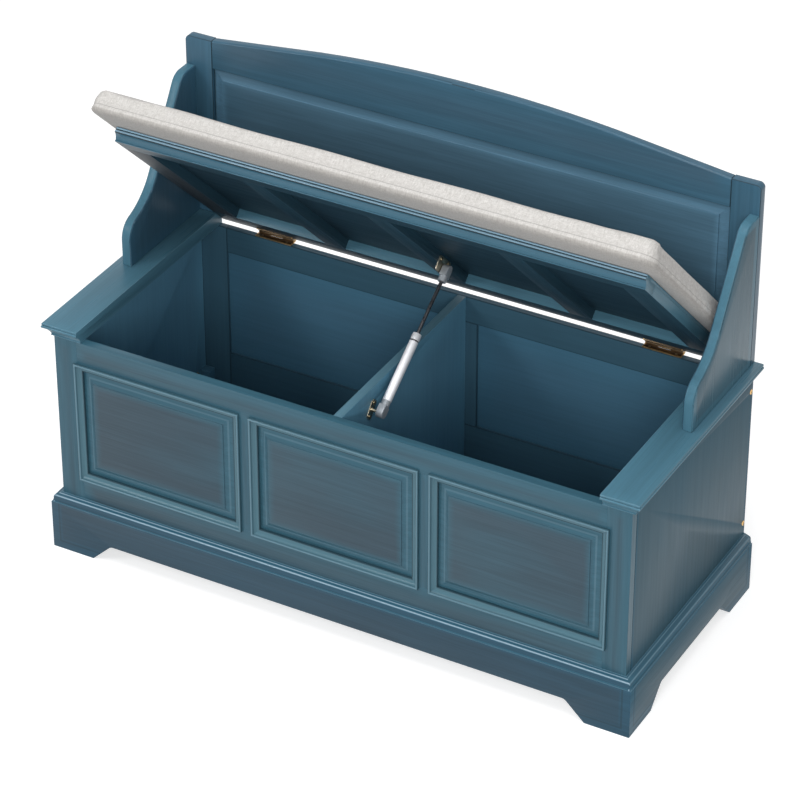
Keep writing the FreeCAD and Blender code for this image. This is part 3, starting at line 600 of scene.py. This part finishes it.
for node, top, under in (("lid_panel", lid_paint_x, lid_under_shade_paint),
                         ("lid_rear_rail", lid_paint_x, lid_under_shade_paint),
                         ("lid_side_rail_left", lid_batten_shade_paint, lid_dark_grey_paint),
                         ("lid_side_rail_right", lid_end_paint, lid_batten_shade_paint),
                         ("lid_batten_left", lid_batten_shade_paint, lid_batten_shade_paint),
                         ("lid_batten_centre", lid_batten_shade_paint, lid_batten_shade_paint),
                         ("lid_batten_right", lid_batten_shade_paint, lid_batten_shade_paint)):
    board = eased_board(node, "lid", top, ease=0.0005, level=lid_level, other=under,
                        chosen=faces_under)


# Hinges and screws.
# Two butt hinges in dark bronzed brass, rubbed bright at their edges, carry the lid.
# Small cross-head screws hold them and the strut's plates, and brass ones hold the
# sides to the back.

cast_marks = (160.0, 160.0, 160.0)
smoother = 0.06
rougher = 0.08
rub_bright = 0.0006
rub_ends = 0.0024


def metal(name, colour, rough, rub=None, metallic=1.0):
    # Plain metal, or one whose plating is rubbed bright along the edges.
    material, nodes, links, shader = new_material(name)
    shader.inputs["Metallic"].default_value = metallic
    shader.inputs["Base Color"].default_value = colour
    place = nodes.new("ShaderNodeTexCoord")
    wear = add_noise(nodes, links, place.outputs["Object"], cast_marks, detail=2.0,
                     roughness=0.5)
    links.new(add_range(nodes, links, wear, 0.3, 0.7, rough - smoother, rough + rougher),
              shader.inputs["Roughness"])
    if rub:
        distance = edge_distance(nodes, links)
        near_edge = add_range(nodes, links, distance, rub_bright, rub_ends, 1.0, 0.0)
        links.new(add_mix(nodes, links, near_edge, colour, rub), shader.inputs["Base Color"])
    return material


axis_rounds = 60


def along_and_round(points):
    # The middle, axis, half length and radius of a turned solid, from its points.
    # Each round pulls the axis nearer to the way in which the points spread most.
    middle = sum(points, Vector()) / len(points)
    axis = Vector((1.0, 0.6, 0.3)).normalized()
    for number in range(axis_rounds):
        pull = sum(((point - middle) * (point - middle).dot(axis) for point in points),
                   Vector())
        axis = pull.normalized()
    reach = [(point - middle).dot(axis) for point in points]
    middle = middle + axis * (max(reach) + min(reach)) / 2
    half = (max(reach) - min(reach)) / 2
    radius = max((point - middle - axis * (point - middle).dot(axis)).length
                 for point in points)
    return middle, axis, half, radius


lathe_weld = 0.000002


def turned(name, outline, segments=24):
    # A solid turned round the Z axis; outline points are radius and height.
    lathe = bmesh.new()
    points = [lathe.verts.new((radius, 0.0, height)) for radius, height in outline]
    edges = [lathe.edges.new(pair) for pair in zip(points, points[1:])]
    bmesh.ops.spin(lathe, geom=points + edges, axis=(0, 0, 1), cent=(0, 0, 0),
                   dvec=(0, 0, 0), angle=math.radians(360), steps=segments, use_merge=True,
                   use_duplicate=False)
    bmesh.ops.remove_doubles(lathe, verts=lathe.verts, dist=lathe_weld)
    bmesh.ops.recalc_face_normals(lathe, faces=lathe.faces)
    return as_mesh(lathe, name)


def laid_along(mesh, middle, axis):
    # Moves a turned mesh from the Z axis to its place.
    mesh.transform(Matrix.Translation(middle)
                   @ axis.to_track_quat("Z", "Y").to_matrix().to_4x4())


def finish_turning(mesh, sharp, *materials):
    mesh.shade_smooth()
    mesh.set_sharp_from_angle(angle=sharp)
    mesh.materials.clear()
    for material in materials:
        mesh.materials.append(material)


def applied(piece):
    # The piece's mesh with its modifiers worked in.
    graph = bpy.context.evaluated_depsgraph_get()
    mesh = bpy.data.meshes.new_from_object(piece.evaluated_get(graph))
    piece.modifiers.clear()
    piece.data = mesh
    return piece


def cross_head(mesh, reach, depth, top):
    # Cuts a cross recess into the head of a turned screw.
    slit = reach * 0.28
    cutter = bmesh.new()
    for length, width in ((reach, slit), (slit, reach)):
        arm = bmesh.ops.create_cube(cutter, size=1.0)["verts"]
        bmesh.ops.scale(cutter, vec=(length, width, depth * 2), verts=arm)
        bmesh.ops.translate(cutter, vec=(0, 0, top), verts=arm)
    cross = placed("cross", as_mesh(cutter, "cross"))
    head = placed("head", mesh)
    cut = head.modifiers.new("cross_recess", "BOOLEAN")
    cut.operation = "DIFFERENCE"
    cut.solver = "EXACT"
    cut.use_self = True
    cut.object = cross
    finished = applied(head).data
    bpy.data.objects.remove(head)
    bpy.data.objects.remove(cross)
    return finished


head_edge = 0.0004


def fitted_screws(node, body, material):
    # Turned cross-head screws where the node has its plain ones. The outline runs from
    # the tip up the shank, out under the head and over its dome.
    plain = as_mesh(joined_up(node), node + "_plain")
    gathered = bmesh.new()
    for solid in islands(plain):
        points = [plain.vertices[number].co.copy() for number in solid]
        middle, axis, half, radius = along_and_round(points)
        widest = [point for point in points
                  if (point - middle - axis * (point - middle).dot(axis)).length
                  > radius * 0.9]
        if sum((point - middle).dot(axis) for point in widest) < 0:
            axis = -axis
        seat = max((point - middle).dot(axis) for point in widest)
        shank = min((point - middle - axis * (point - middle).dot(axis)).length
                    for point in points if (point - middle).dot(axis) < 0)
        dome = half - seat
        head = seat - head_edge
        outline = [(0.0, -half), (shank * 0.6, -half), (shank, -half + shank),
                   (shank, head - radius * 0.5), (radius * 0.97, head), (radius, seat),
                   (radius * 0.92, seat + dome * 0.55), (radius * 0.7, seat + dome * 0.85),
                   (0.0, half)]
        screw = cross_head(turned("screw", outline), reach=radius * 1.15,
                           depth=radius * 0.45, top=half)
        laid_along(screw, middle, axis)
        gathered.from_mesh(screw)
    screws = as_mesh(gathered, node + "_turned")
    finish_turning(screws, math.radians(35), material)
    add_piece(node + "_turned", screws, body, node)


bronze = metal("bronze", (0.150, 0.110, 0.072, 1.0), rough=0.40, rub=(0.62, 0.42, 0.20, 1.0))
brass = metal("brass", (0.78, 0.50, 0.20, 1.0), rough=0.28)
screw_steel = metal("screw_steel", (0.34, 0.29, 0.20, 1.0), rough=0.35)
for node, body, level in (("hinge_fixed_leaves", "box", Matrix()),
                          ("hinge_moving_leaves", "lid", lid_level),
                          ("hinge_pins", "box", Matrix())):
    eased_board(node, body, bronze, ease=0.0002, level=level)
fitted_screws("side_screws", "box", brass)
fitted_screws("corner_bolts", "box", brass)
fitted_screws("box_hardware_screws", "box", screw_steel)
fitted_screws("lid_hardware_screws", "lid", screw_steel)


# Gas strut.
# A painted silver tube with a rolled neck, a dark plated rod, die-cast fittings
# clipped on ball studs, and two pressed plates screwed to the divider and lid.

silver = metal("silver", (0.80, 0.81, 0.84, 1.0), rough=0.45, metallic=0.35)
dark_steel_and_neck_shade = metal("dark_steel_and_neck_shade", (0.16, 0.16, 0.17, 1.0), rough=0.30)
zinc = metal("zinc", (0.34, 0.37, 0.40, 1.0), rough=0.45, metallic=0.4)
plated = metal("plated", (0.56, 0.50, 0.38, 1.0), rough=0.32)
tube_ease = 0.0008
neck_from_top = 0.0135
neck_half = 0.0006
neck_depth = 0.0011
rod_play = 0.0003


def node_points(node):
    return [vertex.co.copy() for vertex in frame["nodes"][node].data.vertices]


tube_middle, tube_axis, tube_half, tube_radius = along_and_round(node_points("strut_cylinder"))
if tube_axis.z < 0:
    tube_axis = -tube_axis
rod_middle, rod_axis, rod_half, rod_radius = along_and_round(node_points("strut_rod"))
bore = rod_radius + rod_play
neck = tube_half - neck_from_top
tube_outline = [(bore, -tube_half), (tube_radius - tube_ease, -tube_half),
                (tube_radius - tube_ease * 0.3, -tube_half + tube_ease * 0.3),
                (tube_radius, -tube_half + tube_ease), (tube_radius, neck - neck_half * 2),
                (tube_radius - neck_depth, neck - neck_half),
                (tube_radius - neck_depth, neck + neck_half),
                (tube_radius, neck + neck_half * 2), (tube_radius, tube_half - tube_ease),
                (tube_radius - tube_ease * 0.3, tube_half - tube_ease * 0.3),
                (tube_radius - tube_ease, tube_half), (bore, tube_half)]
tube_mesh = turned("strut_tube", tube_outline + [tube_outline[0]], segments=48)
laid_along(tube_mesh, tube_middle, tube_axis)
finish_turning(tube_mesh, math.radians(40), silver, dark_steel_and_neck_shade)
# The neck's groove takes the dark steel as painted shade.
for face in tube_mesh.polygons:
    in_shaded_groove = abs((face.center - tube_middle).dot(tube_axis) - neck) < neck_half * 1.6
    face.material_index = 1 if in_shaded_groove else 0
add_piece("strut_tube_turned", tube_mesh, "strut_tube", "strut_cylinder")
rod_outline = [(0.0, -rod_half), (rod_radius, -rod_half), (rod_radius, rod_half),
               (0.0, rod_half)]
rod_mesh = turned("strut_rod", rod_outline, segments=32)
laid_along(rod_mesh, rod_middle, rod_axis)
finish_turning(rod_mesh, math.radians(40), dark_steel_and_neck_shade)
add_piece("strut_rod_turned", rod_mesh, "strut_plunger", "strut_rod")
for node, body, finish, slot_name in (
        ("strut_upper_stud", "strut_plunger", plated, "strut_steel"),
        ("strut_lower_mount", "box", plated, "strut_plate"),
        ("strut_upper_bracket", "lid", plated, "strut_plate"),
        ("strut_lower_fitting", "strut_tube", zinc, "strut_fitting")):
    eased_board(node, body, finish, ease=0.0003)
bracket_face = max(point.x for point in node_points("strut_upper_bracket"))
bracket_gap = 0.0004
upper_fitting = eased_board("strut_upper_fitting", "strut_plunger", zinc, ease=0.0003)
for vertex in upper_fitting.data.vertices:
    vertex.co.x = max(vertex.co.x, bracket_face + bracket_gap)


# Cushion.
# A loose foam pad in woven linen, sewn round the middle of its sides. It lies on
# the lid and has slipped forward with the lid open.

hinge_place = Vector(frame["record"]["behaviour"]["joints"][0]["pos_m"])
pad_slip = 0.071
opened = (Matrix.Translation(hinge_place) @ Matrix.Rotation(-lid_open, 4, "X")
          @ Matrix.Translation(-hinge_place) @ Matrix.Translation(Vector((0, -pad_slip, 0))))
shut_points = [opened.inverted() @ point for point in node_points("cushion")]
pad_low = Vector([min(point[axis] for point in shut_points) for axis in range(3)])
pad_high = Vector([max(point[axis] for point in shut_points) for axis in range(3)])
pad_inset = 0.0025
pad_inset_top = 0.0045
pad_inset_bottom = 0.0005
pad_corner = 0.026
pad_rim = 0.008
pad_thread = 0.0070
pad_swell = 0.008
crown_foot = 0.0375
crown_rise = 0.0150
crown_reach = 0.055
seam_height = pad_low.z + (pad_high.z - pad_low.z) * 0.30
seam_depth = 0.0022
seam_reach = 0.0055
seam_hold = 0.005
seam_grip = 0.9
underside_hold = 0.004


def sewn_pad():
    # The cut cover before it is filled: a flat box with rounded corners.
    low = pad_low + Vector((pad_inset, pad_inset, pad_inset_bottom))
    high = pad_high - Vector((pad_inset, pad_inset, pad_inset_top))
    pad = bmesh.new()
    bmesh.ops.create_cube(pad, size=1.0)
    bmesh.ops.scale(pad, vec=high - low, verts=pad.verts)
    bmesh.ops.translate(pad, vec=(low + high) / 2, verts=pad.verts)
    upright = [edge for edge in pad.edges
               if abs(edge.verts[0].co.z - edge.verts[1].co.z) > 0.02]
    bmesh.ops.bevel(pad, geom=upright, offset=pad_corner, offset_type="OFFSET", segments=8,
                    profile=0.5, affect="EDGES", material=-1)
    rims = [edge for edge in pad.edges if edge.calc_face_angle(0) > math.radians(60)]
    bmesh.ops.bevel(pad, geom=rims, offset=pad_rim, offset_type="OFFSET", segments=4,
                    profile=0.5, affect="EDGES", material=-1)
    cover = placed("cushion_cover", as_mesh(pad, "cushion_cover"))
    remesh = cover.modifiers.new("threads", "REMESH")
    remesh.mode = "VOXEL"
    remesh.voxel_size = pad_thread
    even = cover.modifiers.new("even", "SMOOTH")
    even.factor = 0.5
    even.iterations = 3
    return cover


fill_frames = 20


def filled(cover):
    # Air pressure swells the cover as its foam does. The seam and the underside are
    # held, so the outline stays crisp.
    held = cover.vertex_groups.new(name="held")
    for vertex in cover.data.vertices:
        place = vertex.co
        if place.z < pad_low.z + underside_hold:
            held.add([vertex.index], 1.0, "REPLACE")
        elif abs(place.z - seam_height) < seam_hold:
            held.add([vertex.index], seam_grip, "REPLACE")
    cloth = cover.modifiers.new("filling", "CLOTH")
    settings = cloth.settings
    settings.use_pressure = True
    settings.uniform_pressure_force = 4.0
    settings.effector_weights.gravity = 0.0
    settings.vertex_group_mass = "held"
    settings.pin_stiffness = 1.0
    settings.quality = 5
    settings.tension_stiffness = 40.0
    settings.compression_stiffness = 40.0
    settings.bending_stiffness = 4.0
    start = [vertex.co.copy() for vertex in cover.data.vertices]
    for number in range(1, fill_frames + 1):
        bpy.context.scene.frame_set(number)
    cover = applied(cover)
    for vertex, origin in zip(cover.data.vertices, start):
        move = vertex.co - origin
        if move.length > pad_swell:
            vertex.co = origin + move.normalized() * pad_swell
    bpy.context.scene.frame_set(1)
    return cover


def smooth_wave(place, pitch, turn):
    # A soft rise and fall over the cover; pitch is in radians for each metre.
    return math.sin(place.x * pitch + turn) * math.cos(place.y * pitch * 0.7 + turn * 2)


cushion = applied(sewn_pad())
cushion = filled(cushion)
finer = cushion.modifiers.new("finer", "SUBSURF")
finer.levels = 1
finer.render_levels = 1
cushion = applied(cushion)
cushion.name = "cushion_pad"
pad_mesh = cushion.data
pad_middle = (pad_low + pad_high) / 2
pad_half = (pad_high - pad_low) / 2
stitch_pitch = 310.0
stitch_pull = 0.35
ripple_pitch = 95.0
ripple_rise = 0.012
sag_pitch = 24.0
cloth_wave = 0.0007
for vertex in pad_mesh.vertices:
    place = vertex.co
    outward = Vector((0.0, 0.0, 0.0))
    for axis in (0, 1):
        past = abs(place[axis] - pad_middle[axis]) - (pad_half[axis] - pad_corner)
        if past > 0:
            outward[axis] = math.copysign(past, place[axis] - pad_middle[axis])
    if outward.length > pad_corner * 0.5:
        groove = math.exp(-((place.z - seam_height) / seam_reach) ** 2)
        pucker = 1.0 + stitch_pull * smooth_wave(place, stitch_pitch, 0.7)
        place -= outward.normalized() * seam_depth * groove * pucker
        ripple = math.exp(-((place.z - seam_height - ripple_rise) / ripple_rise) ** 2)
        place += (outward.normalized() * cloth_wave * ripple
                  * smooth_wave(place, ripple_pitch, 0.2))
    elif place.z > seam_height:
        place.z += cloth_wave * smooth_wave(place, sag_pitch, 0.4)
    if place.z > seam_height:
        inside = max(0.0, min(min(place[axis] - pad_low[axis], pad_high[axis] - place[axis])
                              for axis in (0, 1)))
        crown = pad_low.z + crown_foot + crown_rise * (1 - math.exp(-inside / crown_reach))
        place.z = min(place.z, crown + cloth_wave * smooth_wave(place, sag_pitch, 0.4))
    for axis in (0, 1):
        place[axis] = min(max(place[axis], pad_low[axis]), pad_high[axis])
    place.z = max(place.z, pad_low.z)
pad_place = pad_mesh.attributes.new("pad_place", "FLOAT_VECTOR", "POINT")
for vertex in pad_mesh.vertices:
    pad_place.data[vertex.index].vector = vertex.co - Vector((0.0, 0.0, seam_height))
pad_mesh.transform(opened)
pad_mesh.shade_smooth()


weft_threads = (140.0, 1100.0, 1100.0)
warp_threads = (1100.0, 140.0, 140.0)
slub_threads = (600.0, 130.0, 130.0)


def make_linen_weave():
    # Crossed uneven threads. Tone runs from thin to thick, Height is for the bump.
    group, start, end = new_group(
        "linen_weave", [("Place", "NodeSocketVector")],
        [("Tone", "NodeSocketFloat"), ("Height", "NodeSocketFloat")])
    nodes, links = group.nodes, group.links
    place = start.outputs["Place"]
    weft = add_noise(nodes, links, place, weft_threads, detail=2.0, roughness=0.6)
    warp = add_noise(nodes, links, place, warp_threads, detail=2.0, roughness=0.6)
    slub = add_noise(nodes, links, place, slub_threads, detail=2.0, roughness=0.5)
    threads = add_math(nodes, links, "ADD", weft, warp)
    tone = add_math(nodes, links, "ADD", add_math(nodes, links, "MULTIPLY", threads, 0.42),
                    add_math(nodes, links, "MULTIPLY", slub, 0.16))
    links.new(add_range(nodes, links, tone, 0.36, 0.64), end.inputs["Tone"])
    links.new(add_range(nodes, links, threads, 0.7, 1.3), end.inputs["Height"])
    return group


thin_thread = (0.40, 0.385, 0.365, 1.0)
thick_thread = (0.63, 0.615, 0.595, 1.0)
seam_thread_and_shade = (0.16, 0.15, 0.14, 1.0)
low_shade_tone = (0.74, 0.73, 0.72, 1.0)
stitch_half = 0.0003
stitch_fades = 0.0010
stitch_strength = 0.45
low_full = -0.0075
low_fades = -0.0045
linen, linen_nodes, linen_links, linen_shader = new_material("linen")
place_reading = linen_nodes.new("ShaderNodeAttribute")
place_reading.attribute_name = "pad_place"
weave = linen_nodes.new("ShaderNodeGroup")
weave.node_tree = make_linen_weave()
linen_links.new(place_reading.outputs["Vector"], weave.inputs["Place"])
linen_colour = add_mix(linen_nodes, linen_links, weave.outputs["Tone"], thin_thread,
                       thick_thread)
height_parts = linen_nodes.new("ShaderNodeSeparateXYZ")
linen_links.new(place_reading.outputs["Vector"], height_parts.inputs[0])
from_seam = add_math(linen_nodes, linen_links, "ABSOLUTE", height_parts.outputs["Z"], 0.0)
# A dark line along the seam, partly its thread and partly painted shade in its groove.
seam_line_and_shade = add_range(linen_nodes, linen_links, from_seam, stitch_half, stitch_fades,
                        stitch_strength, 0.0)
linen_colour = add_mix(linen_nodes, linen_links, seam_line_and_shade, linen_colour, seam_thread_and_shade)
# Painted shade darkens the cover below the seam, towards its underside.
low_shade = add_range(linen_nodes, linen_links, height_parts.outputs["Z"], low_full,
                      low_fades, 1.0, 0.0, smooth=True)
linen_colour = add_mix(linen_nodes, linen_links, low_shade, linen_colour, low_shade_tone,
                       "MULTIPLY")
linen_links.new(linen_colour, linen_shader.inputs["Base Color"])
linen_shader.inputs["Roughness"].default_value = 0.88
linen_shader.inputs["Specular IOR Level"].default_value = 0.25
linen_shader.inputs["Sheen Weight"].default_value = 0.15
linen_shader.inputs["Sheen Roughness"].default_value = 0.5
linen_bump = linen_nodes.new("ShaderNodeBump")
linen_bump.inputs["Strength"].default_value = 0.5
linen_bump.inputs["Distance"].default_value = 0.0004
linen_links.new(weave.outputs["Height"], linen_bump.inputs["Height"])
linen_links.new(linen_bump.outputs["Normal"], linen_shader.inputs["Normal"])
pad_mesh.materials.clear()
pad_mesh.materials.append(linen)
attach(cushion, "seat_cushion")
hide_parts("cushion")


# Floor, light and camera.
# A white studio floor under a broad overhead light, with a small one at the left
# and a broad one at the front right, seen from the photograph's place.

floor_tone = 0.6
floor_glow = 0.62
floor_reach = 30.0
sheet = bmesh.new()
bmesh.ops.create_grid(sheet, x_segments=1, y_segments=1, size=floor_reach)
floor = placed("floor", as_mesh(sheet, "floor"))


def white_rays(nodes, links):
    # One for the rays that meet plain white: the camera's, mirrored and through glass.
    rays = nodes.new("ShaderNodeLightPath")
    turned_rays = add_math(nodes, links, "MAXIMUM", rays.outputs["Is Glossy Ray"],
                           rays.outputs["Is Transmission Ray"])
    return add_math(nodes, links, "MAXIMUM", rays.outputs["Is Camera Ray"], turned_rays)


floor_white, floor_nodes, floor_links, floor_shader = new_material("floor_white")
floor_shader.inputs["Base Color"].default_value = (floor_tone, floor_tone, floor_tone, 1.0)
floor_shader.inputs["Roughness"].default_value = 0.9
floor_shader.inputs["Specular IOR Level"].default_value = 0.0
floor_shader.inputs["Emission Color"].default_value = (1.0, 1.0, 1.0, 1.0)
glow = add_math(floor_nodes, floor_links, "MULTIPLY", white_rays(floor_nodes, floor_links),
                floor_glow)
floor_links.new(glow, floor_shader.inputs["Emission Strength"])
floor.data.materials.append(floor_white)

ambient = 0.42
world = bpy.data.worlds.new("studio")
bpy.context.scene.world = world
world.use_nodes = True
sky_nodes, sky_links = world.node_tree.nodes, world.node_tree.links
strength = add_range(sky_nodes, sky_links, white_rays(sky_nodes, sky_links), 0.0, 1.0,
                     ambient, 1.0)
sky_links.new(strength, sky_nodes["Background"].inputs["Strength"])
sky_nodes["Background"].inputs["Color"].default_value = (1.0, 1.0, 1.0, 1.0)
lamp_aim = Vector((0.0, 0.0, 0.4))


def soft_box(name, place, width, power):
    lamp = bpy.data.lights.new(name, "AREA")
    lamp.shape = "SQUARE"
    lamp.size = width
    lamp.energy = power
    box = placed(name, lamp)
    box.location = place
    box.rotation_euler = (lamp_aim - Vector(place)).to_track_quat("-Z", "Y").to_euler()


soft_box("overhead_box", (0.2, -0.9, 4.2), width=2.6, power=80.0)
soft_box("left_box", (-2.2, -2.6, 2.4), width=0.9, power=32.0)
soft_box("front_box", (2.1, -3.8, 2.4), width=1.8, power=98.0)

camera_place = Vector((2.4074, -4.3562, 3.5896))
camera_yaw = math.radians(28.95)
camera_pitch = math.radians(33.23)
camera_lens = 164.2
camera_data = bpy.data.cameras.new("camera")
camera_data.lens = camera_lens
camera_data.sensor_width = 36.0
camera_data.clip_end = 100.0
camera = placed("camera", camera_data)
camera.location = camera_place
camera.rotation_euler = (math.radians(90) - camera_pitch, 0.0, camera_yaw)
bpy.context.scene.camera = camera
bpy.context.scene.view_settings.view_transform = "Standard"
